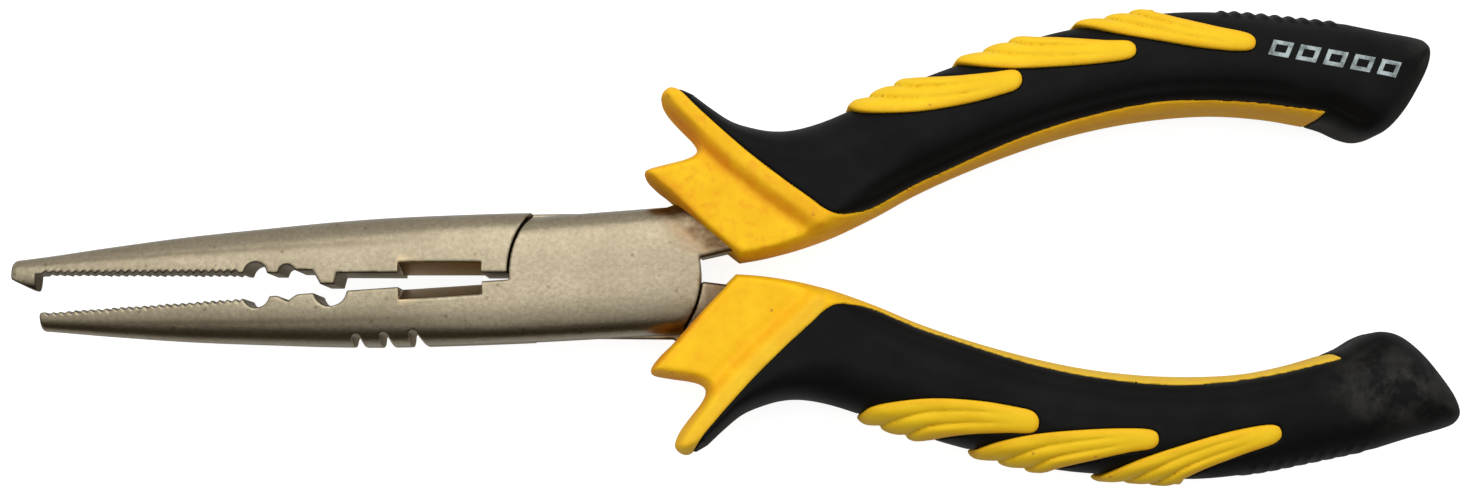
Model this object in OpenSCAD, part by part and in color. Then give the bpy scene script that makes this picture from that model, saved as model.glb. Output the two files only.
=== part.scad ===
// Long-nose fishing pliers with a split-ring hook, crimping notches, a side cutter and two-colour moulded grips.
// Millimetres. The hinge axis is the Z axis, the jaws point to -X, z = 0 is the rear flat of the joint.
// Every lever is drawn with the jaws closed and centred on z = 0, then turned to its place at rest.

/* [Joint] */
// thickness of the joint across its two flats
joint_t = 9.5; // [8:0.1:12]
// radius of the round shoulders of the two lap plates
lap_r = 11.75; // [10:0.05:13]
// gap between the sliding faces of the two levers
lap_gap = 0.06; // [0.04:0.01:0.2]
// gap round the lap plates at the curved shoulders
shoulder_gap = 0.25; // [0.1:0.05:0.6]
// radius of the rivet
rivet_r = 4; // [3:0.1:5]
// radial running clearance between the rivet and the front lever
rivet_gap = 0.04; // [0.02:0.01:0.1]

/* [Jaws] */
// reach of the upper jaw from the hinge to its tip
jaw_l = 74; // [60:1:85]
// thickness of the jaws at the tip
tip_t = 3; // [2:0.1:5]
// distance between two serrations
tooth_pitch = 0.95; // [0.7:0.05:1.5]
// depth of the serrations
tooth_d = 0.4; // [0.2:0.05:0.6]
// how far each jaw stands open at rest, degrees
open_half = 1.9; // [0:0.1:10]

/* [Grips] */
// half thickness of the grip at its fullest
grip_h = 8; // [6:0.1:10]
// thickness of the soft sleeve
sleeve_t = 1.6; // [1:0.1:2.5]
// height of the finger pads above the soft sleeve
pad_h = 0.6; // [0.3:0.1:1.2]
// turn of the handle pair against the centre line of the jaws, degrees
handle_skew = 1.1; // [0:0.1:3]

/* [Hidden] */
$fn = 96;
mid = joint_t / 2;
steel = [0.74, 0.7, 0.6];
yellow = [0.96, 0.76, 0.12];
black = [0.08, 0.08, 0.08];

// ---------- curves ----------

// point on a smooth curve that runs through b and c, with a and d as the neighbours
function between(a, b, c, d, t) =
    0.5 * (2 * b + (c - a) * t + (2 * a - 5 * b + 4 * c - d) * t * t
    + (3 * b - a - 3 * c + d) * t * t * t);

// smooth curve through all the points of p, with n steps from one point to the next
function curve(p, n = 4) = concat(
    [for (i = [0:len(p) - 2]) for (k = [0:n - 1])
        between(p[max(i - 1, 0)], p[i], p[i + 1], p[min(i + 2, len(p) - 1)], k / n)],
    [p[len(p) - 1]]);

// ---------- metal levers, jaws closed ----------

// half width of the closed nose and joint along the tool
nose_edge = [[-jaw_l, 1.8], [-69, 2.45], [-62, 3.5], [-52, 4.85], [-41.5, 5.95], [-33, 6.75], [-25, 7.25],
    [-11, 7.7], [0, 7.85], [13, 7.95]];

// half-round nose: a body of revolution about the centre line, planed flat front and back
module nose() {
    intersection() {
        rotate([0, 90, 0]) rotate_extrude()
            polygon(concat([[0, -jaw_l]], [for (p = curve(nose_edge, 3)) [p[1], p[0]]], [[0, 13]]));
        rotate([90, 0, 0]) linear_extrude(height = 30, center = true)
            polygon([[-jaw_l - 1, -tip_t / 2], [-22, -mid], [14, -mid], [14, mid], [-22, mid],
                [-jaw_l - 1, tip_t / 2]]);
    }
}

// metal tongue that runs back inside the handle, seen from the front
tongue_low = [[12, 1.05], [15.5, 1.65], [20, 3.8], [30, 8.3], [45, 13], [60, 17], [72, 18.6], [88, 16.9]];
tongue_high = [[88, 20.9], [72, 23.2], [60, 21.8], [45, 18], [30, 13], [20, 10.2], [13, 8.7], [8, 7.9]];

module tongue_2d() {
    polygon(concat([[8, 0.9]], curve(tongue_low, 3), curve(tongue_high, 3)));
}

module tongue(skew) {
    rotate([0, 0, skew]) {
        linear_extrude(height = 5, center = true) tongue_2d();
        linear_extrude(height = joint_t, center = true) intersection() {
            tongue_2d();
            translate([-1, -1]) square([19, 20]);
        }
    }
}

// the quarters that belong to a lever at full thickness: its own jaw and its own handle
module own_jaw_2d() {
    translate([-100, -30]) square([100, 29.97]);
}

// both flats of the lever: half a lap plate at the front, its own quarters at full thickness
module lever_blank(skew, bore_gap) {
    difference() {
        union() {
            intersection() {
                nose();
                union() {
                    translate([0, 0, lap_gap / 2]) cylinder(r = lap_r, h = mid);
                    linear_extrude(height = 20, center = true) difference() {
                        own_jaw_2d();
                        circle(r = lap_r + shoulder_gap);
                    }
                    translate([0, 0, lap_gap / 2]) linear_extrude(height = mid) own_jaw_2d();
                }
            }
            difference() {
                tongue(skew);
                translate([0, 0, -mid - 1]) cylinder(r = lap_r + shoulder_gap, h = mid + 1 + lap_gap / 2);
            }
        }
        cylinder(r = rivet_r + bore_gap, h = 20, center = true);
        translate([0, 0, mid - 1.2]) rivet_flare(bore_gap);
    }
}

// conical head of the rivet, ground flush
module rivet_flare(gap) {
    rotate_extrude() polygon([[0, 0], [rivet_r + gap, 0], [rivet_r + gap + 0.8, 1.2],
        [rivet_r + gap + 0.8, 1.3], [0, 1.3]]);
}

// a row of cross-cut serrations from x0 towards +X
module serrations(x0, count) {
    for (i = [0:count - 1])
        translate([x0 + i * tooth_pitch, 0, 0])
            linear_extrude(height = 20, center = true)
                polygon([[0, 0.2], [0, 0], [tooth_pitch / 2, -tooth_d], [tooth_pitch, 0], [tooth_pitch, 0.2]]);
}

// side cutter: bevels ground from the front and the rear down to an edge at the middle of the joint
module cutter_bevel(depth) {
    translate([-25.4, 0, 0]) rotate([90, 0, 90]) linear_extrude(height = 10.2)
        polygon([[0.5, 0], [-0.02, 0], [-depth, mid + 0.1], [0.5, mid + 0.1]]);
}

// round crimping notch through the jaw
module round_notch(x, y, r) {
    translate([x, y, 0]) cylinder(r = r, h = 20, center = true);
}

// narrow round-bottomed slot across the outside of the jaw
module outer_slot(x, top) {
    translate([x, top, 0]) cylinder(r = 0.55, h = 20, center = true);
    translate([x - 0.55, top - 4, -10]) cube([1.1, 4, 20]);
}

// lower jaw, front lap plate and upper handle tongue
module front_lever_shape() {
    difference() {
        lever_blank(handle_skew, rivet_gap);
        translate([-80, -10, -10]) cube([9.8, 20, 20]);
        serrations(-69.4, 26);
        round_notch(-43, 0.35, 1.65);
        translate([-39, 0, 0]) linear_extrude(height = 20, center = true)
            polygon([[-1.4, 0.1], [-1.4, 0], [0.1, -0.85], [1.1, 0], [1.1, 0.1]]);
        round_notch(-33.8, 0.3, 2.05);
        cutter_bevel(1.6);
        mirror([0, 0, 1]) cutter_bevel(1.6);
        outer_slot(-31.1, -5.9);
        outer_slot(-27.65, -5.9);
        outer_slot(-24, -5.9);
    }
}

// upper jaw, rear lap plate and lower handle tongue; drawn turned over, so it shares the blank
module rear_lever_shape() {
    difference() {
        union() {
            difference() {
                lever_blank(-handle_skew, 0);
                serrations(-69.8, 26);
                translate([-38.4, -0.35, -10]) cube([2.9, 1, 20]);
            }
            intersection() {
                nose();
                translate([-jaw_l, 0, -10]) linear_extrude(height = 20)
                    polygon([[0, -1], [0, 0.4], [3.3, 2], [3.3, -1]]);
            }
            intersection() {
                nose();
                linear_extrude(height = 20, center = true)
                    polygon([[-35.75, -0.6], [-35.75, 0], [-35, 1.3], [-33.3, 1.3], [-32.9, -0.6]]);
            }
        }
        round_notch(-43.1, 0.05, 1.45);
        round_notch(-39.2, -0.05, 1.05);
        cutter_bevel(1.3);
        mirror([0, 0, 1]) cutter_bevel(1.3);
    }
}

// ---------- handles, in the frame of the upper handle with the jaws closed ----------

// each station of the grip: inner point, outer point, half thickness as a share of the fullest
stations = [
    [[16.5, 0.25], [10.1, 22.1], 0.74],
    [[20, 0.6], [13, 20.9], 0.77],
    [[24.8, 1.5], [16.5, 18], 0.82],
    [[28.9, 2.75], [20.5, 16.2], 0.88],
    [[31.5, 3.8], [25, 16], 0.93],
    [[34, 4.9], [30, 17.2], 0.96],
    [[38.8, 7.1], [35, 19.2], 0.98],
    [[44.5, 9.3], [41.5, 21.2], 1],
    [[51, 11.3], [48.5, 22.9], 1],
    [[58, 12.85], [56.5, 24.7], 1],
    [[65, 13.75], [64.5, 25.9], 1],
    [[71.8, 14.1], [71.8, 26.4], 1],
    [[78, 13.9], [79.5, 26], 0.99],
    [[84, 12.9], [87, 24.9], 0.98],
    [[89.4, 11.5], [93, 23.8], 0.97],
    [[93, 9.9], [98, 22.6], 0.94],
    [[95.9, 8.95], [101.5, 21.7], 0.88],
    [[98.7, 9.9], [103.4, 21], 0.78],
    [[101.1, 12.2], [104.4, 20.1], 0.62],
    [[103.3, 15.2], [104.8, 18.9], 0.36]];
ring = 20;

// power of a sine or cosine with its sign kept: gives the grip its squarish round section
function squarish(v) = sign(v) * pow(abs(v), 0.72);

// point number j of station s, grown outwards by g
function ring_point(s, g, j) =
    let (
        a = s[0],
        b = s[1],
        w = norm(b - a),
        dir = (b - a) / w,
        centre = (a + b) / 2 - [max(0, (centre_x(s) - 92) / 14) * max(-g, 0), 0],
        half_w = max(w / 2 + g, 0.6),
        half_h = max(s[2] * grip_h + g, 0.6),
        ang = 360 * (j + 0.5) / ring
    )
    [centre[0] + dir[0] * half_w * squarish(cos(ang)), centre[1] + dir[1] * half_w * squarish(cos(ang)),
        half_h * squarish(sin(ang))];

function centre_x(s) = (s[0][0] + s[1][0]) / 2;

// grip body: a skin through all the stations, grown outwards by g, from station first to the last
module grip_body(g, last) {
    points = [for (i = [0:last]) for (j = [0:ring - 1]) ring_point(stations[i], g, j)];
    side = [for (i = [0:last - 1]) for (j = [0:ring - 1]) let (k = (j + 1) % ring)
        [i * ring + j, i * ring + k, (i + 1) * ring + k, (i + 1) * ring + j]];
    split = [for (q = side) for (t = [0, 1]) t == 0 ? [q[2], q[1], q[0]] : [q[3], q[2], q[0]]];
    front = [[for (j = [0:ring - 1]) j]];
    rear = [[for (j = [0:ring - 1]) last * ring + ring - 1 - j]];
    polyhedron(points = points, faces = concat(split, front, rear), convexity = 6);
}

// line between the hard yellow shell and the soft black sleeve
sleeve_line = [[10.7, 22.1], [12.2, 20.1], [14.3, 17.7], [18.2, 13.5], [22.4, 9.5], [25.7, 6.6], [27, 5.4],
    [28.6, 4.6], [31, 4.7], [33.6, 5.4], [38.5, 7.6], [43.5, 9.4], [48.6, 11.2], [54, 12.8], [60, 14.1],
    [67.5, 15.1], [74, 15.1], [81, 14.3], [86.8, 13.1], [90.2, 12.2]];

module sleeve_2d() {
    polygon(concat(curve(sleeve_line, 3), [[91.4, 10.4], [91, 4], [115, 4], [115, 35], [9.5, 35]]));
}

// finger guard of the yellow shell: horn above, flange against the joint below
guard_edge = [[10.8, 22.2], [9.6, 22.4], [8.6, 21.4], [9.1, 19.8], [10.4, 18], [12, 16], [12.5, 14.7],
    [12, 13.9], [10.6, 13.4], [8.2, 13], [6, 12.5], [5.9, 11.6], [7, 10.2], [8.5, 8.8], [9.9, 7.2],
    [11.9, 4.9], [15, 1.7], [16.5, 0.25]];

module guard_2d() {
    polygon(concat(curve(guard_edge, 3), [[20, 0.6], [24.8, 1.5], [28, 2.6], [27, 5.4], [18.2, 13.5],
        [12.2, 20.1]]));
}

// raised rim of the guard beside the sleeve
module rim_2d() {
    polygon([[9.6, 21], [12.4, 16.2], [16, 11.4], [19.1, 8.5], [22.2, 6.2], [25.3, 4.1], [27.6, 4.9],
        [25.7, 6.6], [22.4, 9.5], [18.2, 13.5], [14.3, 17.7], [10.7, 21.8]]);
}

// hard yellow shell: finger guard, inner strip and the core under the sleeve
module grip_core_shape(skew) {
    difference() {
        rotate([0, 0, skew]) {
            grip_body(-sleeve_t, len(stations) - 2);
            difference() {
                grip_body(0, len(stations) - 1);
                linear_extrude(height = 30, center = true) sleeve_2d();
            }
            difference() {
                union() {
                    linear_extrude(height = 12, center = true) guard_2d();
                    linear_extrude(height = 13.6, center = true) rim_2d();
                }
                linear_extrude(height = 30, center = true) sleeve_2d();
            }
        }
        tongue(skew);
        cylinder(r = lap_r + shoulder_gap, h = 40, center = true);
    }
}

// outlines of the three finger pads; each wraps over the outer edge of the grip
pad_front = [[30.9, 18], [32.4, 16.9], [36.2, 16.4], [40.5, 16.2], [45.6, 16.6], [50, 17.4], [52.3, 18.2],
    [52.8, 19.2], [51.9, 20.2], [48.8, 20.3], [44.5, 20.4], [41.3, 20.8], [39.4, 21.3]];
pad_middle = [[44.7, 22.2], [47.6, 21.3], [52, 20.5], [57.6, 20.2], [63, 20.3], [66.1, 20.7], [67.2, 21.7],
    [66.3, 22.7], [63.3, 23.1], [59.6, 23.8], [55.3, 24.7], [54, 25.4]];
pad_rear = [[59.9, 25.7], [64.4, 24], [70, 22.3], [75.5, 21], [80, 20.4], [81.8, 21.3], [80.9, 22.5],
    [77, 23.7], [72.5, 25.4], [70.3, 26.6]];

module pad_2d(edge) {
    last = edge[len(edge) - 1];
    polygon(concat([edge[0] + [-0.6, 5]], curve(edge, 2), [last + [0.2, 5]]));
}

module pads_2d() {
    pad_2d(pad_front);
    pad_2d(pad_middle);
    pad_2d(pad_rear);
}

// one finger pad, from the core out to just above the sleeve
module pad_shape(skew, edge) {
    rotate([0, 0, skew]) difference() {
        intersection() {
            grip_body(pad_h, len(stations) - 1);
            linear_extrude(height = 30, center = true) pad_2d(edge);
        }
        grip_body(-sleeve_t, len(stations) - 2);
    }
}

// soft black sleeve round the core, with windows for the pads
module sleeve_shape(skew) {
    rotate([0, 0, skew]) difference() {
        intersection() {
            grip_body(0, len(stations) - 1);
            linear_extrude(height = 30, center = true) sleeve_2d();
        }
        grip_body(-sleeve_t, len(stations) - 2);
        linear_extrude(height = 40, center = true) pads_2d();
    }
}

// ---------- placing the two halves at rest ----------

module front_half() {
    translate([0, 0, mid]) rotate([0, 0, open_half]) children();
}

module rear_half() {
    translate([0, 0, mid]) rotate([0, 0, -open_half]) rotate([180, 0, 0]) children();
}

module lever_front() {
    color(steel) front_half() front_lever_shape();
}

module lever_rear() {
    color(steel) rear_half() rear_lever_shape();
}

// rivet: tight in the rear lever, free to turn in the front lever
module rivet() {
    color(steel) translate([0, 0, mid]) intersection() {
        union() {
            cylinder(r = rivet_r, h = joint_t, center = true);
            translate([0, 0, mid - 1.2]) rivet_flare(0);
            mirror([0, 0, 1]) translate([0, 0, mid - 1.2]) rivet_flare(0);
        }
        cube([20, 20, joint_t], center = true);
    }
}

module grip_core_upper() {
    color(yellow) front_half() grip_core_shape(handle_skew);
}

module grip_core_lower() {
    color(yellow) rear_half() grip_core_shape(-handle_skew);
}

module sleeve_upper() {
    color(black) front_half() sleeve_shape(handle_skew);
}

module sleeve_lower() {
    color(black) rear_half() sleeve_shape(-handle_skew);
}

module pad_upper_front() {
    color(yellow) front_half() pad_shape(handle_skew, pad_front);
}

module pad_upper_middle() {
    color(yellow) front_half() pad_shape(handle_skew, pad_middle);
}

module pad_upper_rear() {
    color(yellow) front_half() pad_shape(handle_skew, pad_rear);
}

module pad_lower_front() {
    color(yellow) rear_half() pad_shape(-handle_skew, pad_front);
}

module pad_lower_middle() {
    color(yellow) rear_half() pad_shape(-handle_skew, pad_middle);
}

module pad_lower_rear() {
    color(yellow) rear_half() pad_shape(-handle_skew, pad_rear);
}

lever_front();
lever_rear();
rivet();
grip_core_upper();
grip_core_lower();
sleeve_upper();
sleeve_lower();
pad_upper_front();
pad_upper_middle();
pad_upper_rear();
pad_lower_front();
pad_lower_middle();
pad_lower_rear();
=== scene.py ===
import math

import bpy
import numpy as np
from mathutils import Matrix, Vector


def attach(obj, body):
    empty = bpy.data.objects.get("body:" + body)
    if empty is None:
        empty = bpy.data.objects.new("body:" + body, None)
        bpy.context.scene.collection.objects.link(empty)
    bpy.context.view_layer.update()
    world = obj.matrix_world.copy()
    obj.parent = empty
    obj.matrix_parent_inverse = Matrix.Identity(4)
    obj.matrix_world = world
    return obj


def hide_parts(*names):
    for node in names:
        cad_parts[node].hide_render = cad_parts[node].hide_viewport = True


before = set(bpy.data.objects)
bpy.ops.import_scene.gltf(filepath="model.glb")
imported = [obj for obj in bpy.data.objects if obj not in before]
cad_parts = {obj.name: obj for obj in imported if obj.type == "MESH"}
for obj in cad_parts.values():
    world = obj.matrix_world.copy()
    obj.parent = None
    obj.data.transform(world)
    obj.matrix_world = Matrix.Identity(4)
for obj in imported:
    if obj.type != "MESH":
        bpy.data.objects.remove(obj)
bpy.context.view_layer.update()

MM = 0.001
MID = 4.75            # middle of the joint's thickness above the rear flat, mm
HALF_T = 4.75         # half the joint's thickness
LAP_R = 11.8          # round shoulder of a lap plate
SHOULDER = 12.0       # hollow shoulder that the plate turns in
HALF_GAP = 0.03       # half the gap between the sliding faces
RIVET_HOLE = 4.06     # radius of the rivet's hole
HOLE_HALF = 3.75      # half its length; the plates' outer skin closes it
TOOTH_PITCH = 0.95
TOOTH_DEPTH = 0.42
CUTTER = (-25.4, -15.2)               # the side cutter's two ends
SLEEVE_IN = 1.6       # how deep the sleeve and pads go into the handle
CORE_IN = 1.65        # how deep the shell's core lies in it
SEAM = 0.05           # how far the sleeve reaches into its neighbours
OPEN_HALF = 1.9       # each jaw's opening at rest, degrees
SKEW = 1.1            # turn of each handle against its jaw, degrees
FINE = 1.0     # how much coarser the grids are made

# the camera, in the upper jaw's own frame: its place in mm and the way it looks
CAMERA_PLACE = (14.13, -22.25, 274.24)
CAMERA_LOOK = (0.00732, 0.09509, -0.99544)

FLOOR_Z = -4.0        # mm
FLOOR_HALF = 3.0      # m


# ---------- small maths ----------

def smooth_step(a, b, v):
    t = np.clip((v - a) / (b - a), 0.0, 1.0)
    return t * t * (3 - 2 * t)


def smooth_max(a, b, k):
    h = np.maximum(k - np.abs(a - b), 0.0) / k
    return np.maximum(a, b) + h * h * k * 0.25


def smooth_min(a, b, k):
    return -smooth_max(-a, -b, k)


def bump(v, centre, width):
    return np.exp(-((v - centre) / width) ** 2)


def curve(points, n=6):
    """Smooth curve through all the points."""
    p = np.array(points, float)
    q = np.vstack([p[0], p, p[-1]])
    t = np.arange(n)[:, None] / n
    out = []
    for i in range(1, len(q) - 2):
        a, b, c, d = q[i - 1], q[i], q[i + 1], q[i + 2]
        out.append(0.5 * (2 * b + (c - a) * t + (2 * a - 5 * b + 4 * c - d) * t ** 2
                          + (3 * b - a - 3 * c + d) * t ** 3))
    out.append(q[-1:])
    return np.vstack(out)


def turned(x, y, degrees):
    a = math.radians(degrees)
    c, s = math.cos(a), math.sin(a)
    return c * x - s * y, s * x + c * y


class Plan:
    """Signed distance to a closed outline in the plane, negative inside, sampled from a fine grid."""

    def __init__(self, outline, low, high, step=0.15):
        self.low, self.step = np.array(low, float), step
        xs = np.arange(low[0], high[0] + step, step)
        ys = np.arange(low[1], high[1] + step, step)
        gx, gy = np.meshgrid(xs, ys, indexing="ij")
        best = np.full(gx.shape, 1e9)
        inside = np.zeros(gx.shape, bool)
        ends = np.roll(outline, -1, axis=0)
        for (ax, ay), (bx, by) in zip(outline, ends):
            dx, dy = bx - ax, by - ay
            length = dx * dx + dy * dy
            if length < 1e-12:
                continue
            t = np.clip(((gx - ax) * dx + (gy - ay) * dy) / length, 0, 1)
            best = np.minimum(best, (gx - ax - t * dx) ** 2 + (gy - ay - t * dy) ** 2)
            if ay != by:
                crosses = ((ay > gy) != (by > gy)) & (gx < dx * (gy - ay) / dy + ax)
                inside ^= crosses
        self.grid = np.where(inside, -1, 1) * np.sqrt(best)

    def __call__(self, x, y):
        nx, ny = self.grid.shape
        u = np.clip((x - self.low[0]) / self.step, 0, nx - 1.001)
        v = np.clip((y - self.low[1]) / self.step, 0, ny - 1.001)
        i, j = u.astype(int), v.astype(int)
        a, b = u - i, v - j
        g = self.grid
        return ((g[i, j] * (1 - a) + g[i + 1, j] * a) * (1 - b)
                + (g[i, j + 1] * (1 - a) + g[i + 1, j + 1] * a) * b)


# ---------- surfaces from fields ----------

def surface(field, low, high, step):
    """Vertices and quads of the surface where field(x, y, z) is zero.

    step is the grid's spacing on each axis. Each cell that the surface crosses gets one vertex, at the mean
    of the crossings on its edges, which is then moved onto the surface.
    """
    step = np.array(step, float) * FINE
    axes = [np.arange(low[k], high[k] + step[k], step[k]) for k in range(3)]
    nx, ny, nz = (len(a) for a in axes)
    gx, gy = np.meshgrid(axes[0], axes[1], indexing="ij")
    values = np.empty((nx, ny, nz), np.float32)
    slab = 24
    for i in range(0, nx, slab):
        part = slice(i, min(i + slab, nx))
        x = np.repeat(gx[part][:, :, None], nz, 2)
        y = np.repeat(gy[part][:, :, None], nz, 2)
        z = np.broadcast_to(axes[2], x.shape)
        values[part] = field(x.ravel(), y.ravel(), z.ravel()).reshape(x.shape)
    inner = values < 0
    total = np.zeros((nx - 1, ny - 1, nz - 1, 3), np.float32)
    count = np.zeros((nx - 1, ny - 1, nz - 1), np.float32)
    quads = []
    crossings = []
    for axis in range(3):
        a = [slice(None)] * 3
        b = [slice(None)] * 3
        a[axis], b[axis] = slice(0, -1), slice(1, None)
        va, vb = values[tuple(a)], values[tuple(b)]
        cross = inner[tuple(a)] != inner[tuple(b)]
        where = np.argwhere(cross)
        t = va[cross] / (va[cross] - vb[cross])
        point = where.astype(np.float32)
        point[:, axis] += t
        o1, o2 = [k for k in range(3) if k != axis]
        for s1 in (0, 1):
            for s2 in (0, 1):
                cell = where.copy()
                cell[:, o1] -= s1
                cell[:, o2] -= s2
                ok = ((cell >= 0) & (cell < np.array(total.shape[:3]))).all(1)
                c = cell[ok]
                flat = np.ravel_multi_index(c.T, count.shape)
                count += np.bincount(flat, minlength=count.size).reshape(count.shape)
                for k in range(3):
                    total[..., k] += np.bincount(flat, point[ok, k], count.size).reshape(count.shape)
        crossings.append((axis, o1, o2, where, inner[tuple(a)][cross]))
    active = count > 0
    index = np.full(count.shape, -1, np.int64)
    index[active] = np.arange(active.sum())
    place = total[active] / count[active][:, None]
    for axis, o1, o2, where, first_in in crossings:
        ok = (where[:, o1] > 0) & (where[:, o2] > 0)
        ok &= (where[:, o1] < values.shape[o1] - 1) & (where[:, o2] < values.shape[o2] - 1)
        w, f = where[ok], first_in[ok]
        ring = []
        for s1, s2 in ((1, 1), (0, 1), (0, 0), (1, 0)):
            cell = w.copy()
            cell[:, o1] -= s1
            cell[:, o2] -= s2
            ring.append(index[tuple(cell.T)])
        ring = np.stack(ring, 1)
        flip = f if axis != 1 else ~f
        ring[~flip] = ring[~flip][:, ::-1]
        quads.append(ring)
    quads = np.vstack(quads)
    points = place * step + np.array(low)
    e = 0.02
    for _ in range(3):
        v = field(*points.T)
        g = np.stack([(field(*(points + d).T) - field(*(points - d).T)) / (2 * e)
                      for d in np.eye(3) * e], 1)
        move = -(v / np.maximum((g * g).sum(1), 0.15))[:, None] * g
        size = np.linalg.norm(move, axis=1, keepdims=True)
        points = points + move * np.minimum(1, 0.3 * step.max() / np.maximum(size, 1e-9))
    return points, quads


def mesh_object(name, points, quads, matrix, marks):
    """A smooth-shaded piece from points in mm. matrix takes it to its place in the frame.

    marks are values per point that the materials read.
    """
    mesh = bpy.data.meshes.new(name)
    n = len(quads)
    mesh.vertices.add(len(points))
    mesh.vertices.foreach_set("co", (points * MM).astype(np.float32).ravel())
    mesh.loops.add(n * 4)
    mesh.loops.foreach_set("vertex_index", quads.astype(np.int32).ravel())
    mesh.polygons.add(n)
    mesh.polygons.foreach_set("loop_start", np.arange(0, n * 4, 4, dtype=np.int32))
    mesh.polygons.foreach_set("loop_total", np.full(n, 4, np.int32))
    mesh.polygons.foreach_set("use_smooth", np.ones(n, bool))
    mesh.update()
    mesh.validate()
    for key, values in marks.items():
        layer = mesh.attributes.new(key, "FLOAT", "POINT")
        layer.data.foreach_set("value", np.asarray(values, np.float32))
    obj = bpy.data.objects.new(name, mesh)
    bpy.context.scene.collection.objects.link(obj)
    mesh.transform(matrix)
    return obj


def place_front():
    """Front half: from its closed position, centred on the joint, to its place at rest."""
    return Matrix.Translation((0, 0, MID * MM)) @ Matrix.Rotation(math.radians(OPEN_HALF), 4, "Z")


def place_rear():
    """Rear half: the same shape turned over, which puts its jaw on top and its plate behind."""
    return (Matrix.Translation((0, 0, MID * MM)) @ Matrix.Rotation(math.radians(-OPEN_HALF), 4, "Z")
            @ Matrix.Rotation(math.pi, 4, "X"))


# ---------- metal levers, jaws closed, drawn as the lower jaw with the front plate ----------

NOSE = curve([(-74, 1.8), (-69, 2.45), (-62, 3.5), (-52, 4.85), (-41.5, 5.95), (-33, 6.75), (-25, 7.25),
              (-11, 7.7), (0, 7.85), (13, 7.95), (20, 7.95)])
TONGUE = np.vstack([[(8, 0.6)], curve([(12, 0.86), (14.8, 1.25), (16.8, 1.6), (20, 3.4), (23, 5.2)]),
                    curve([(23, 11.4), (20, 11), (13, 9.6), (8, 8.6)])])
tongue_plan = Plan(TONGUE, (0, -6), (30, 20))


def nose_thickness(x):
    return np.interp(x, [-75, -22], [1.5, HALF_T])


def rolled_section(y, z, w, t, power):
    """Flat front and rear that roll over into round sides: half width w, half thickness t."""
    ratio = ((np.abs(y) / w) ** power + (np.abs(z) / t) ** power) ** (1 / power)
    return (ratio - 1) * np.hypot(y, z) / np.maximum(ratio, 1e-6)


def nose(x, y, z):
    """Long nose of both closed jaws."""
    w = np.interp(x, NOSE[:, 0], NOSE[:, 1])
    f = rolled_section(y, z, w, nose_thickness(x), np.interp(x, [-74, -50, -30, -14], [2.2, 2.3, 2.8, 3.9]))
    return smooth_max(f, -73.8 - x, 0.8)


def teeth(x, first, count):
    """Depth of the cross-cut serrations at x."""
    u = (x - first) / TOOTH_PITCH
    wave = 1 - np.abs(2 * (u - np.floor(u)) - 1)
    return np.where((u > 0) & (u < count), TOOTH_DEPTH * wave, 0.0)


def blank(x, y, z, skew, mating, teeth_past):
    """Lever without its notches. mating is how far the jaw's mating face lies below the centre line,
    and teeth_past is the region of the parts that stand past it."""
    r = np.hypot(x, y)
    allowed = np.minimum(HALF_GAP - z, SHOULDER - r)
    own = smooth_max(np.minimum(np.maximum(y + mating, x), teeth_past), allowed, 0.12)
    plate = smooth_max(r - LAP_R, HALF_GAP - z, 0.15)
    body = smooth_max(nose(x, y, z), np.minimum(plate, own), 0.22)
    tx, ty = turned(x, y, -skew)
    ty = ty - 0.048 * (HALF_T - z) * smooth_step(6, 3, ty)
    section = rolled_section(y, z, np.interp(x, [8, 14, 20], [7.95, 9.4, 13]), HALF_T, 3.6)
    tongue = smooth_max(tongue_plan(tx, ty), section, 0.5)
    tongue = smooth_max(tongue, allowed, 0.12)
    f = np.minimum(body, tongue)
    hole = np.maximum(r - RIVET_HOLE, np.abs(z) - HOLE_HALF)
    return np.maximum(smooth_max(f, allowed + np.where(x < 0, -9, 0), 0.1), -hole)


def slot_field(x, y, x0, flare):
    """Slot across the outside of the jaw, round at its end, with one side flaring outwards."""
    down = np.maximum(-5.9 - y, 0)
    centre = x0 + 0.5 * flare * down
    return np.where(y > -5.9, np.hypot(x - x0, y + 5.9), np.abs(x - centre) - 0.5 * flare * down) - 0.5


def lever_front_field(x, y, z):
    bevel = np.where((x > CUTTER[0]) & (x < CUTTER[1]), 1.6 * np.abs(z) / HALF_T, 0)
    mating = HALF_GAP + teeth(x, -69.4, 26) + bevel
    f = blank(x, y, z, SKEW, mating, x + 99)
    f = smooth_max(f, -70.2 - x, 0.5)
    cuts = np.hypot(x + 43, y - 0.35) - 1.65
    cuts = np.minimum(cuts, np.hypot(x + 33.8, y - 0.3) - 2.05)
    vee = np.maximum(-0.62 * (x + 40.4) - y, 0.62 * (x + 37.9) - y) * 0.85
    cuts = np.minimum(cuts, np.where(y > -1.2, vee, 1.0))
    for x0, flare in ((-31.1, 0.3), (-27.65, 0.35), (-24.0, 0.6)):
        cuts = np.minimum(cuts, slot_field(x, y, x0, flare))
    return smooth_max(f, -cuts, 0.18)


def lever_rear_field(x, y, z):
    bevel = np.where((x > CUTTER[0]) & (x < CUTTER[1]), 1.3 * np.abs(z) / HALF_T, 0)
    mating = HALF_GAP + teeth(x, -69.8, 26) + bevel + 0.35 * ((x > -38.4) & (x < -35.5))
    hook = smooth_max(x + 70.6, y - 0.4 - (x + 74) * 0.485, 0.3)
    punch = np.maximum(np.maximum(y - 1.32, x + 32.95 + 0.25 * y), -35.75 - x + 0.58 * y)
    f = blank(x, y, z, -SKEW, mating, np.minimum(hook, np.maximum(punch, -y - 1.5)))
    cuts = np.hypot(x + 43.1, y - 0.05) - 1.45
    cuts = np.minimum(cuts, np.hypot(x + 39.2, y + 0.05) - 1.05)
    return smooth_max(f, -cuts, 0.18)


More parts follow.
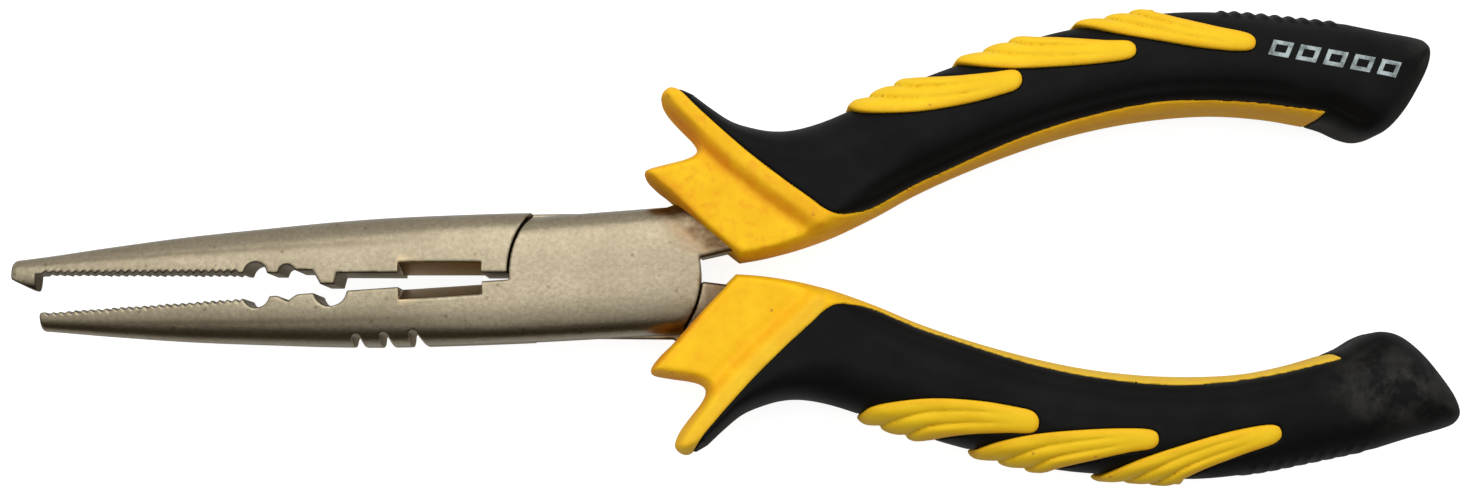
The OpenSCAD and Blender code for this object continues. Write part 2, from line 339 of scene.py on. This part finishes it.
def lever_marks(x, y, z, node):
    """Where a lever's colour changes: the cutter's recess, painted shade on the inner walls, the stain by
    the grips with a painted contact shadow along the guard's edge.
    """
    r = np.hypot(x, y)
    recess = smooth_step(-25.7, -25.2, x) * smooth_step(-14.9, -15.4, x) * smooth_step(-2.6, -1.4, y)
    recess = recess * smooth_step(4.72, 4.4, np.abs(z))
    depth = nose_thickness(x) - np.abs(z)
    # painted shade: the jaws' inner walls and the side walls past the disc are coloured dark where shade
    # falls
    inner = smooth_step(0.1, 0.4, depth) * smooth_step(0.62, 0.5, -y / np.interp(x, NOSE[:, 0], NOSE[:, 1]))
    inner = inner * (x < 0) * smooth_step(2.2, 1.8, y) * (1 - recess)
    inner = np.maximum(inner, smooth_step(11.9, 12.6, x) * smooth_step(4.6, 4.2, z))
    # painted shade on the rear lever's tang beside the plate's arc
    if node == "lever_rear":
        inner = np.maximum(inner, 0.35 * smooth_step(11.9, 12.4, r) * smooth_step(6, 8, x))
    to_guard = 0.72 * (x - 9.9) + 0.69 * (np.abs(y) - 7.2)
    # real brown stain towards the guard; its last millimetre also sets a painted contact shadow along the
    # guard's edge
    stain_and_edge_shade = smooth_step(-4.8, -0.4, to_guard)
    return {"recess": np.clip(recess, 0, 1), "painted_wall_shade": np.clip(inner, 0, 1), "stain_and_edge_shade": stain_and_edge_shade}


def lever(name, field, node, matrix, body):
    points, quads = surface(field, (-74.6, -8.6, -5.2), (19.2, 10.6, 5.2), (0.17, 0.19, 0.27))
    obj = mesh_object(name, points, quads, matrix, lever_marks(*points.T, node))
    obj.data.materials.append(materials["steel"])
    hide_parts(node)
    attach(obj, body)


# ---------- handles, in the frame of the upper handle with the jaws closed ----------

INNER = [(16.5, 0.25), (20, 0.6), (24.8, 1.5), (28.9, 2.75), (34, 4.7), (38.8, 6.85), (44.5, 8.95),
         (51, 10.95), (58, 12.65), (65, 13.7), (71.8, 14.1), (78, 13.9), (84, 12.95), (89.1, 11.6)]
HEEL = [(89.1, 11.6), (91.2, 10.75), (93.4, 9.5), (95.5, 8.95), (97.9, 9.6), (100.5, 11.8), (102.9, 14.9),
        (104.3, 17.2), (104.8, 19.1), (104.2, 20.3), (102.8, 21.0), (98.1, 22.2), (94.1, 23.35)]
OUTER = [(94.1, 23.35), (87, 24.7), (79.5, 26.0), (71.8, 26.6), (64.5, 26.0), (56.5, 25.05), (48.5, 23.05),
         (41.5, 21.2), (35, 19.05), (31.2, 17.65), (27.7, 16.5), (24.6, 15.9), (22, 15.95), (19.4, 16.6),
         (17, 17.6), (14.8, 19.3), (12.6, 21.3)]
GUARD = [(12.6, 21.3), (10.8, 22.25), (9.6, 22.4), (8.6, 21.4), (9.1, 19.8), (10.4, 18), (12, 16),
         (12.5, 14.7), (12, 13.9), (10.6, 13.4), (8.2, 13), (6, 12.5), (5.9, 11.6), (7, 10.2), (8.5, 8.8),
         (9.9, 7.2), (11.9, 4.9), (15, 1.7), (16.5, 0.25)]
LINE = [(10.7, 22.3), (12.2, 20.1), (14.3, 17.7), (18.2, 13.5), (22.4, 9.5), (25.7, 6.6), (27, 5.4),
        (28.6, 4.6), (31, 4.7), (33.6, 5.4), (38.5, 7.6), (43.5, 9.4), (48.6, 11.2), (54, 12.8), (60, 14.1),
        (67.5, 15.1), (74, 15.1), (81, 14.3), (86.6, 13.15), (90.1, 12.35)]
PAD_LOW = [
    [(31.2, 18.1), (32.7, 17.0), (36.3, 16.4), (40.5, 16.2), (45.6, 16.6), (49.6, 17.3), (51.8, 17.9)],
    [(45.1, 22.3), (47.8, 21.3), (52.1, 20.5), (57.6, 20.2), (62.6, 20.2), (66.0, 20.5)],
    [(60.3, 25.9), (64.6, 24), (70.1, 22.3), (75.5, 20.9), (80.3, 20.2)]]
PAD_HIGH = [
    [(39.4, 21.3), (41.3, 20.8), (44.5, 20.4), (48.8, 20.3), (51.8, 20.3)],
    [(54, 25.4), (55.3, 24.7), (59.6, 23.8), (63.3, 23.1), (66.1, 22.7)],
    [(70.3, 26.6), (72.5, 25.4), (77, 23.7), (80.8, 22.4)]]
PAD_TIP = [(52.5, 19.1), (66.8, 21.6), (81.5, 21.1)]

HANDLE_AREA = ((2, -4), (110, 32))
PAD_AREA = ((26, 10), (90, 34))

handle_outline = np.vstack([curve(part)[:-1] for part in (INNER, HEEL, OUTER, GUARD)])
handle_plan = Plan(handle_outline, *HANDLE_AREA)
sleeve_outline = np.vstack([curve(LINE), [(88.2, 10.5), (87, 2), (118, 2), (118, 40), (8, 40)]])
sleeve_plan = Plan(sleeve_outline, *HANDLE_AREA)


def pad_outline(k):
    """A pad's outline, carried on past the handle's outer edge."""
    edge = curve(PAD_LOW[k] + [PAD_TIP[k]] + PAD_HIGH[k][::-1])
    return np.vstack([edge, [edge[-1] + (0.2, 6)], [edge[0] + (-0.8, 6)]])


def beyond(points, lead, trail, back):
    """Signed distance to everything on the far side of a line that is carried on at both ends."""
    first = (points[0][0] + lead[0], points[0][1] + lead[1])
    last = (points[-1][0] + trail[0], points[-1][1] + trail[1])
    line = curve([first] + points + [last])
    return Plan(np.vstack([line, [line[-1] + back, line[0] + back]]), *PAD_AREA)


pad_plans = [Plan(pad_outline(k), *PAD_AREA) for k in range(3)]
low_plans = [beyond(points, (-1.5, 2.5), (9, 2), (0, -30)) for points in PAD_LOW]
high_plans = [beyond(points, (-2.5, 2.2), (9, -1), (0, 30)) for points in PAD_HIGH]


def grip_height(x, y, shell_side):
    """Half thickness of the handle.

    shell_side is the distance from the line where the sleeve ends, positive on the shell's side.
    """
    base = np.interp(x, [5, 14, 20, 28, 36, 46, 80, 97, 106], [6, 6, 6.2, 6.8, 7.6, 8, 8, 7.7, 7])
    ridge = 1.25 * (1 - smooth_step(1.5, 3.4, shell_side)) * (1 - smooth_step(24, 36, x))
    ridge = ridge - 0.25 * bump(shell_side, 3.5, 0.8) * (1 - smooth_step(22, 27, x))
    return base + ridge


def edge_round(x, y):
    """How far the edge's rounding reaches across the face, and how far down the side."""
    middle = np.interp(x, [10, 20, 30, 45, 70, 90, 105], [12, 9, 10, 15.5, 20, 18, 16])
    side = smooth_step(-3, 3, y - middle)
    low = 1.0 + 4.6 * smooth_step(20, 42, x)
    high = 1.35 + 4.25 * smooth_step(13, 30, x)
    return low * (1 - side) + high * side, np.full_like(x, 5.4)


def grip(x, y, z):
    """The whole handle as one rounded body, with the distance from the sleeve line."""
    side = sleeve_plan(x, y)
    across, down = edge_round(x, y)
    a = handle_plan(x, y) + across
    b = np.abs(z) - grip_height(x, y, side) + down
    ua, ub = np.maximum(a, 0) / across, np.maximum(b, 0) / down
    q = np.hypot(ua, ub)
    f = q * (q - 1) / np.maximum(np.hypot(ua / across, ub / down), 1e-6)
    return np.maximum(f, np.maximum(a - across, b - down)), side


def shell_field(x, y, z):
    """Hard yellow shell: guard, inner strip and the core under the sleeve."""
    f, side = grip(x, y, z)
    skin = smooth_max(f, -side, 0.35)
    core = f + CORE_IN
    return smooth_min(skin, core, 0.1)


def sleeve_skin(x, y, z):
    """Outer skin of the soft sleeve with its lip, groove and thumb ribs."""
    f, side = grip(x, y, z)
    depth = -side
    strip = smooth_step(30, 34, x) * smooth_step(88, 83, x)
    f = f + strip * (0.1 * bump(depth, 1.7, 0.6) - 0.1 * bump(depth, 0.7, 0.5))
    crease_x, crease_y = turned(x - 92.3, y - 12.2, 32)
    f = f + 0.35 * bump(crease_y, 0, 0.6) * smooth_step(-4, -1, crease_x) * smooth_step(4.5, 1.5, crease_x)
    rib = 0.5 + 0.5 * np.cos((x - 78.7) * 2 * math.pi / 1.68)
    edge = handle_plan(x, y)
    where = smooth_step(78, 78.8, x) * smooth_step(93.4, 92.6, x) * smooth_step(-1.3, -0.5, edge)
    where = where * (y > 18)
    return f - 0.28 * rib * where * (0.45 + 0.55 * smooth_step(-4, 1, z)), depth


def sleeve_field(x, y, z):
    """Soft sleeve: a skin over the core, open where the pads stand."""
    f, depth = sleeve_skin(x, y, z)
    f = smooth_max(f, -SEAM - depth, 0.3)
    windows = np.minimum.reduce([plan(x, y) for plan in pad_plans])
    f = smooth_max(f, -SEAM - windows, 0.35)
    body, _ = grip(x, y, z)
    return np.maximum(f, -(body + SLEEVE_IN))


def pad_field(k):
    """Raised pad with three lobes that fan out from its blunt tip to the handle's outer edge."""
    def field(x, y, z):
        body, _ = grip(x, y, z)
        inside = -pad_plans[k](x, y)
        a = np.maximum(low_plans[k](x, y), 0.0)
        b = np.maximum(high_plans[k](x, y), 0.0)
        v = a / np.maximum(a + b, 1e-3)
        lobe = np.sqrt(np.clip(1 - (2 * ((3 * v) % 1.0) - 1) ** 2, 0, 1))
        fade = smooth_step(2.0, 9.0, np.hypot(x - PAD_TIP[k][0], y - PAD_TIP[k][1]))
        rise = np.sqrt(np.clip(1 - (1 - np.clip(inside / 1.1, 0, 1)) ** 2, 0, 1))
        outer = smooth_step(-3.2, -0.6, handle_plan(x, y))
        height = 0.16 + rise * (0.34 + 0.45 * outer)
        height = height - (0.3 + 0.4 * outer) * fade * (1 - lobe) * smooth_step(0.2, 1.0, inside)
        f = body - height
        f = smooth_max(f, -inside, 0.2)
        return np.maximum(f, -(body + SLEEVE_IN))
    return field


# how far each moulding lies backwards along its handle: places along it, and the shift there, mm
SHIFT = {"upper": ([10, 30, 92, 104], [0, 0.35, 0.4, 0.2]), "lower": ([10, 60, 104], [-0.45, -0.3, 0.1])}


def fitted(points, half):
    """The two mouldings are not quite alike: each has its shift, and the lower one is fuller outside."""
    x, y, _ = points.T
    fuller = (half == "lower") * 0.3 * bump(x, 50, 12) * smooth_step(14, 22, y)
    return points + np.stack([np.interp(x, *SHIFT[half]), fuller, 0 * x], 1)


def shell_marks(x, y, z, half):
    """Dirt and painted shade in the guard's valley, on its rim and by the joint; painted shade on the inner
    strip; more specks in front.
    """
    side = sleeve_plan(x, y)
    r = np.hypot(x, y)
    front = smooth_step(-2, 2, z)
    # dirt with painted crease shade in the valley at the foot of the guard's ridge, stronger in front
    dirt_and_shade = bump(side, 2.8, 0.85) * (1 - smooth_step(23, 27, x)) * (0.4 + 0.6 * front)
    # dirt with painted contact shade along the guard's edges and where it meets the metal by the joint
    rim = smooth_step(-1.0, -0.1, handle_plan(x, y)) * smooth_step(19, 13, r)
    near_joint = smooth_step(14.2, 12.2, r)
    dirt_and_shade = np.clip(0.08 + 0.9 * dirt_and_shade + 0.6 * rim + 0.9 * near_joint, 0, 1)
    # painted shade: the inner strip, and the guard's ridge next to the sleeve line, take the darker strip
    # colour
    strip = np.maximum(smooth_step(28, 40, x), 0.35 * smooth_step(2.8, 1.2, side) * (x < 27))
    # the last mark is 1 on the lower handle, whose inner strip faces the light, and 0 on the upper, whose
    # strip faces away from it
    return {"dirt_and_shade": dirt_and_shade, "strip": strip, "dirty": 0.35 + 0.65 * front, "strip_lit_side": x * 0 + (half == "lower")}


def sleeve_marks(x, y, z, half):
    """Wear behind and at the butt, and the place of the print on the upper sleeve's front."""
    wear = smooth_step(10, 2, np.hypot(x - 95, 1.5 * (y - 16))) * (z < 0)
    wear = np.maximum(wear, 0.6 * smooth_step(99, 104, x))
    u, v = turned(x - 83.33, y - 20.45, 14.9)
    return {"wear": wear, "along": (u - 0.25 * v) / 3.4 - 2.37, "across": v,
            "printed": (z > 0) * (half == "upper")}


def pad_marks(k):
    """Darker orange along a pad's edge; the other marks of the shared yellow material are off."""
    def marks(x, y, z, half):
        # darker orange within a millimetre of the pad's edge
        dirt_and_shade = smooth_step(0.9, 0.1, -pad_plans[k](x, y))
        return {"dirt_and_shade": dirt_and_shade, "strip": x * 0, "dirty": x * 0, "strip_lit_side": x * 0}
    return marks


def handle_kinds():
    """One shape for each kind of piece on a handle, with its names, slot, material and marks."""
    shell = surface(shell_field, (4.4, -1.2, -8.8), (106.4, 27.6, 8.8), (0.32, 0.32, 0.34))
    sleeve = surface(sleeve_field, (9.5, 3.0, -9), (106.6, 28, 9), (0.3, 0.3, 0.34))
    kinds = [("shell_%s", "grip_core_%s", "shell_yellow", "yellow", shell_marks, shell),
             ("sleeve_%s", "sleeve_%s", "soft_black", "black", sleeve_marks, sleeve)]
    places = (("front", (29.5, 15), (54, 23.5)), ("middle", (43.5, 19), (68.5, 27.5)),
              ("rear", (58.5, 19), (83, 29)))
    for k, (place, low, high) in enumerate(places):
        pad = surface(pad_field(k), (*low, -9.8), (*high, 9.8), (0.22, 0.22, 0.26))
        kinds.append(("pad_%s_" + place, "pad_%s_" + place, "pad_yellow", "pad", pad_marks(k), pad))
    return kinds


def handle_pieces():
    """Both handles from one set of shapes: shell, sleeve and three pads each."""
    kinds = handle_kinds()
    for half, matrix, skew in (("upper", place_front(), SKEW), ("lower", place_rear(), -SKEW)):
        body = "front_half" if half == "upper" else "rear_half"
        turn = matrix @ Matrix.Rotation(math.radians(skew), 4, "Z")
        for name, cad_name, slot, paint, marks, (points, quads) in kinds:
            obj = mesh_object(name % half, fitted(points, half), quads, turn, marks(*points.T, half))
            node = cad_name % half
            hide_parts(node)
            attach(obj, body)
            obj.data.materials.append(materials[paint])


# ---------- materials ----------

def set_stops(ramp, stops):
    """Fills a colour ramp; each stop is a place and a grey level or a colour."""
    while len(ramp.elements) < len(stops):
        ramp.elements.new(0.5)
    for element, (place, colour) in zip(ramp.elements, stops):
        element.position = place
        element.color = (colour, colour, colour, 1) if np.isscalar(colour) else (*colour, 1)


class Paint:
    """A material with its own short list of nodes."""

    def __init__(self, name):
        self.material = bpy.data.materials.new(name)
        self.material.use_nodes = True
        self.tree = self.material.node_tree
        self.tree.nodes.clear()
        self.out = self.tree.nodes.new("ShaderNodeOutputMaterial")
        self.shader = self.tree.nodes.new("ShaderNodeBsdfPrincipled")
        self.link(self.shader.outputs[0], self.out.inputs["Surface"])
        self.place = self.tree.nodes.new("ShaderNodeTexCoord").outputs["Object"]

    def link(self, a, b):
        self.tree.links.new(a, b)

    def noise(self, scale, detail=4.0, rough=0.6):
        node = self.tree.nodes.new("ShaderNodeTexNoise")
        self.link(self.place, node.inputs["Vector"])
        node.inputs["Scale"].default_value = scale
        node.inputs["Detail"].default_value = detail
        node.inputs["Roughness"].default_value = rough
        return node.outputs["Fac"]

    def dots(self, scale, size, gaps):
        """Round specks, one in each cell of a grid but for a share of cells left empty."""
        node = self.tree.nodes.new("ShaderNodeTexVoronoi")
        self.link(self.place, node.inputs["Vector"])
        node.inputs["Scale"].default_value = scale
        spot = self.ramp(node.outputs["Distance"], [(0.5 * size, 1.0), (size, 0.0)])
        used = self.ramp(node.outputs["Color"], [(gaps, 0.0), (gaps + 0.02, 1.0)])
        return self.maths("MULTIPLY", spot, used)

    def mark(self, name):
        node = self.tree.nodes.new("ShaderNodeAttribute")
        node.attribute_name = name
        return node.outputs["Fac"]

    def ramp(self, value, stops):
        """Grey or colour ramp from (place, colour) pairs."""
        node = self.tree.nodes.new("ShaderNodeValToRGB")
        set_stops(node.color_ramp, stops)
        self.link(value, node.inputs["Fac"])
        return node.outputs["Color"]

    def mix(self, factor, a, b):
        node = self.tree.nodes.new("ShaderNodeMix")
        node.data_type = "RGBA"
        for value, socket in ((factor, node.inputs[0]), (a, node.inputs[6]), (b, node.inputs[7])):
            if isinstance(value, bpy.types.NodeSocket):
                self.link(value, socket)
            elif np.isscalar(value):
                socket.default_value = value
            else:
                socket.default_value = (*value, 1)
        return node.outputs[2]

    def maths(self, operation, a, b=0.0):
        node = self.tree.nodes.new("ShaderNodeMath")
        node.operation = operation
        for value, socket in ((a, node.inputs[0]), (b, node.inputs[1])):
            if isinstance(value, bpy.types.NodeSocket):
                self.link(value, socket)
            else:
                socket.default_value = value
        return node.outputs[0]

    def finish(self, colour, rough, height, distance, strength):
        self.link(colour, self.shader.inputs["Base Color"])
        self.link(rough, self.shader.inputs["Roughness"])
        node = self.tree.nodes.new("ShaderNodeBump")
        node.inputs["Strength"].default_value = strength
        node.inputs["Distance"].default_value = distance
        self.link(height, node.inputs["Height"])
        self.link(node.outputs["Normal"], self.shader.inputs["Normal"])
        return self.material


def steel_paint():
    """Blasted nickel: warm grey with fine mottling, small dark specks, a brown stain near the grips, dirt
    and a painted contact shadow along the guard's edge, painted shade on the inner walls.
    """
    p = Paint("blasted_nickel")
    p.shader.inputs["Metallic"].default_value = 1.0
    fine = p.noise(1700, 3, 0.7)
    broad = p.noise(160, 5, 0.62)
    colour = p.ramp(broad, [(0.3, (0.215, 0.182, 0.125)), (0.7, (0.252, 0.216, 0.15))])
    colour = p.mix(p.ramp(fine, [(0.35, 0.0), (0.65, 0.6)]), colour, (0.15, 0.125, 0.082))
    colour = p.mix(p.maths("MULTIPLY", p.dots(480, 0.16, 0.35), 0.6), colour, (0.1, 0.08, 0.045))
    recess = p.mark("recess")
    colour = p.mix(p.maths("MULTIPLY", recess, 0.85), colour, (0.48, 0.36, 0.20))
    # painted shade: dark inner walls and tang walls
    colour = p.mix(p.maths("MULTIPLY", p.mark("painted_wall_shade"), 0.7), colour, (0.07, 0.052, 0.034))
    cloud = p.ramp(p.noise(240, 4, 0.65), [(0.35, 0.15), (0.65, 1.0)])
    stain_and_edge_shade = p.maths("MULTIPLY", p.mark("stain_and_edge_shade"), cloud)
    colour = p.mix(p.maths("MULTIPLY", stain_and_edge_shade, 0.9), colour, (0.16, 0.08, 0.028))
    # painted contact shadow, with dirt: a dark line right along the guard's edge
    grime_and_shade = p.ramp(p.mark("stain_and_edge_shade"), [(0.72, 0.0), (0.97, 0.9)])
    colour = p.mix(p.maths("MULTIPLY", grime_and_shade, cloud), colour, (0.035, 0.022, 0.012))
    rough = p.ramp(broad, [(0.3, 0.34), (0.7, 0.28)])
    return p.finish(colour, rough, fine, 0.00004, 0.55)


def yellow_paint(name, light, deep, grime_and_shade):
    """Moulded yellow plastic: faint mottling, orange dirt and painted shade in creases and along edges,
    sparse specks, painted shade on the inner strip.
    """
    p = Paint(name)
    p.shader.inputs["Specular IOR Level"].default_value = 0.1
    broad = p.noise(190, 4, 0.6)
    colour = p.mix(p.ramp(broad, [(0.35, 0.0), (0.68, 1.0)]), deep, light)
    dirt_and_shade = p.mark("dirt_and_shade")
    cloud = p.ramp(p.noise(330, 4, 0.7), [(0.3, 0.35), (0.62, 1.0)])
    # orange dirt and painted shade in creases and along edges
    colour = p.mix(p.maths("MULTIPLY", p.maths("MULTIPLY", dirt_and_shade, cloud), grime_and_shade), colour, (0.6, 0.22, 0.007))
    blotch = p.ramp(p.noise(950, 3, 0.6), [(0.5, 0.0), (0.66, 0.45)])
    blotch = p.maths("MULTIPLY", blotch, p.mark("dirty"))
    colour = p.mix(p.maths("MULTIPLY", blotch, grime_and_shade), colour, (0.66, 0.26, 0.01))
    colour = p.mix(p.maths("MULTIPLY", p.dots(420, 0.11, 0.5), 0.7), colour, (0.35, 0.15, 0.02))
    # painted shade on the inner strip: deep orange on the upper handle, which faces away from the light,
    # duller yellow on the lower, which faces it
    strip_shade_colour = p.ramp(p.mark("strip_lit_side"), [(0.0, (0.64, 0.31, 0.012)), (1.0, (0.50, 0.345, 0.045))])
    colour = p.mix(p.maths("MULTIPLY", p.mark("strip"), 0.6), colour, strip_shade_colour)
    rough = p.ramp(broad, [(0.3, 0.65), (0.7, 0.55)])
    return p.finish(colour, rough, p.noise(900, 3, 0.6), 0.00005, 0.25)


def printed_boxes(p):
    """Row of five hollow slanted boxes; the marks along and across say where on the row a point lies."""
    along = p.mark("along")
    across = p.maths("ABSOLUTE", p.mark("across"))
    row = p.maths("LESS_THAN", p.maths("ABSOLUTE", along), 2.37)
    off = p.maths("ABSOLUTE", p.maths("SUBTRACT", p.maths("FRACT", p.maths("ADD", along, 5.37)), 0.37))
    outer = p.maths("MULTIPLY", p.maths("LESS_THAN", off, 0.37), p.maths("LESS_THAN", across, 1.0))
    inner = p.maths("MULTIPLY", p.maths("LESS_THAN", off, 0.21), p.maths("LESS_THAN", across, 0.5))
    box = p.maths("MULTIPLY", outer, p.maths("SUBTRACT", 1.0, inner))
    return p.maths("MULTIPLY", p.maths("MULTIPLY", box, row), p.mark("printed"))


def black_paint():
    """Soft black rubber: matte, a little dust, a worn pale print, paler where the butt is worn."""
    p = Paint("soft_black")
    p.shader.inputs["Specular IOR Level"].default_value = 0.07
    broad = p.noise(120, 5, 0.65)
    colour = p.ramp(broad, [(0.3, (0.002, 0.002, 0.002)), (0.75, (0.0042, 0.0041, 0.0039))])
    worn = p.maths("MULTIPLY", p.mark("wear"), p.ramp(p.noise(260, 5, 0.7), [(0.42, 0.0), (0.62, 1.0)]))
    colour = p.mix(p.maths("MULTIPLY", worn, 0.5), colour, (0.045, 0.043, 0.039))
    colour = p.mix(p.maths("MULTIPLY", p.dots(240, 0.035, 0.75), 0.6), colour, (0.11, 0.105, 0.1))
    patchy = p.ramp(p.noise(650, 4, 0.7), [(0.36, 0.35), (0.6, 0.95)])
    colour = p.mix(p.maths("MULTIPLY", printed_boxes(p), patchy), colour, (0.36, 0.42, 0.42))
    rough = p.ramp(broad, [(0.3, 0.62), (0.7, 0.5)])
    return p.finish(colour, rough, p.noise(1500, 3, 0.7), 0.00006, 0.3)


def floor_paint():
    """Pale floor with its own glow, which keeps shadows faint."""
    p = Paint("pale_floor")
    p.shader.inputs["Emission Color"].default_value = (1, 1, 1, 1)
    p.shader.inputs["Emission Strength"].default_value = 0.86
    colour = p.ramp(p.noise(6, 2, 0.5), [(0.3, 0.30), (0.7, 0.32)])
    rough = p.ramp(p.noise(40, 2, 0.5), [(0.3, 0.8), (0.7, 0.9)])
    return p.finish(colour, rough, p.noise(60), 0.0001, 0.02)


# ---------- rivet ----------

def rivet():
    """Turned rivet under the plated skin of the two plates, so that no head shows."""
    profile = [(0.0, 3.7), (3.2, 3.7), (3.7, 3.66), (3.92, 3.52), (4.0, 3.2), (4.0, 2.0), (4.0, 0.0)]
    profile = profile + [(r, -z) for r, z in profile[-2::-1]]
    turns = 64
    points, quads = [], []
    for i in range(turns):
        a = 2 * math.pi * i / turns
        points += [(max(r, 0.02) * math.cos(a), max(r, 0.02) * math.sin(a), z + MID) for r, z in profile]
    n = len(profile)
    for i in range(turns):
        j = (i + 1) % turns
        quads += [(i * n + k, i * n + k + 1, j * n + k + 1, j * n + k) for k in range(n - 1)]
    points += [(0, 0, MID + 3.7), (0, 0, MID - 3.7)]
    top, bottom = turns * n, turns * n + 1
    mesh = bpy.data.meshes.new("rivet_pin")
    caps = [(top, i * n, ((i + 1) % turns) * n) for i in range(turns)]
    caps += [(bottom, ((i + 1) % turns) * n + n - 1, i * n + n - 1) for i in range(turns)]
    mesh.from_pydata([Vector(p) * MM for p in points], [], quads + caps)
    mesh.validate()
    for polygon in mesh.polygons:
        polygon.use_smooth = True
    for key in ("recess", "painted_wall_shade", "stain_and_edge_shade"):
        mesh.attributes.new(key, "FLOAT", "POINT")
    obj = bpy.data.objects.new("rivet_pin", mesh)
    bpy.context.scene.collection.objects.link(obj)
    obj.data.materials.append(materials["steel"])
    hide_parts("rivet")
    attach(obj, "rear_half")


# ---------- camera, floor and light ----------

def camera():
    """Looks down on the tool and is rolled so that the upper jaw's own frame is level in the picture."""
    data = bpy.data.cameras.new("camera")
    data.lens = 53
    data.sensor_width = 36
    data.clip_start = 0.01
    data.clip_end = 10
    cam = bpy.data.objects.new("camera", data)
    bpy.context.scene.collection.objects.link(cam)
    bpy.context.scene.camera = cam
    x, y = turned(CAMERA_PLACE[0], CAMERA_PLACE[1], -OPEN_HALF)
    cam.location = (x * MM, y * MM, CAMERA_PLACE[2] * MM)
    look = Vector(CAMERA_LOOK).normalized()
    side = Vector((1, 0, 0))
    side = (side - look * side.dot(look)).normalized()
    up = side.cross(look)
    basis = Matrix((side, up, -look)).transposed().to_4x4()
    cam.matrix_world = (Matrix.Translation(cam.location) @ Matrix.Rotation(math.radians(-OPEN_HALF), 4, "Z")
                        @ basis)


def pale_floor():
    """Floor that puts nothing on the tool: reflections, diffuse light and shadows pass it by."""
    mesh = bpy.data.meshes.new("floor")
    corners = [(-1, -1), (1, -1), (1, 1), (-1, 1)]
    points = [(FLOOR_HALF * a, FLOOR_HALF * b, FLOOR_Z * MM) for a, b in corners]
    mesh.from_pydata(points, [], [(0, 1, 2, 3)])
    floor = bpy.data.objects.new("floor", mesh)
    bpy.context.scene.collection.objects.link(floor)
    floor.data.materials.append(floor_paint())
    floor.visible_glossy = False
    floor.visible_diffuse = False
    floor.visible_shadow = False


def room():
    """Soft room light that changes round the X axis: bright above and behind, dark in front."""
    world = bpy.data.worlds.new("soft_room")
    bpy.context.scene.world = world
    world.use_nodes = True
    tree = world.node_tree
    back = tree.nodes["Background"]
    place = tree.nodes.new("ShaderNodeTexCoord")
    split = tree.nodes.new("ShaderNodeSeparateXYZ")
    tilt = tree.nodes.new("ShaderNodeMath")
    tilt.operation = "ARCTAN2"
    scale = tree.nodes.new("ShaderNodeMapRange")
    scale.inputs["From Min"].default_value = -math.pi
    scale.inputs["From Max"].default_value = math.pi
    ramp = tree.nodes.new("ShaderNodeValToRGB")
    tree.links.new(place.outputs["Generated"], split.inputs[0])
    tree.links.new(split.outputs["Y"], tilt.inputs[0])
    tree.links.new(split.outputs["Z"], tilt.inputs[1])
    tree.links.new(tilt.outputs[0], scale.inputs["Value"])
    tree.links.new(scale.outputs["Result"], ramp.inputs["Fac"])
    dark = (0.055, 0.042, 0.026)
    below = (0.2, 0.17, 0.13)
    # from straight down (0) over the front (0.25), up (0.5) and the back (0.75) to straight down again (1)
    stops = [(0.0, below), (0.05, below), (0.08, 0.6), (0.19, 0.6), (0.25, dark), (0.37, dark), (0.41, 0.6),
             (0.46, 1.0), (0.56, 1.0), (0.66, 0.9), (0.76, 0.8), (0.92, 0.6), (0.96, below), (1.0, below)]
    set_stops(ramp.color_ramp, stops)
    tree.links.new(ramp.outputs["Color"], back.inputs["Color"])
    back.inputs["Strength"].default_value = 1.3


def key_light():
    data = bpy.data.lights.new("key", "AREA")
    data.size = 0.7
    data.energy = 3.4
    light = bpy.data.objects.new("key", data)
    bpy.context.scene.collection.objects.link(light)
    light.location = (-0.05, 0.33, 0.8)
    light.rotation_euler = (-light.location).to_track_quat("-Z", "Y").to_euler()


camera()
bpy.context.scene.view_settings.view_transform = "Standard"
materials = {
    "steel": steel_paint(),
    "yellow": yellow_paint("shell_yellow", (0.765, 0.475, 0.0085), (0.70, 0.375, 0.0065), 1.1),
    "pad": yellow_paint("pad_yellow", (0.70, 0.455, 0.0125), (0.65, 0.395, 0.0095), 0.4),
    "black": black_paint(),
}
lever("lever_lower_jaw", lever_front_field, "lever_front", place_front(), "front_half")
lever("lever_upper_jaw", lever_rear_field, "lever_rear", place_rear(), "rear_half")
rivet()
handle_pieces()
pale_floor()
room()
key_light()

bpy.context.view_layer.update()
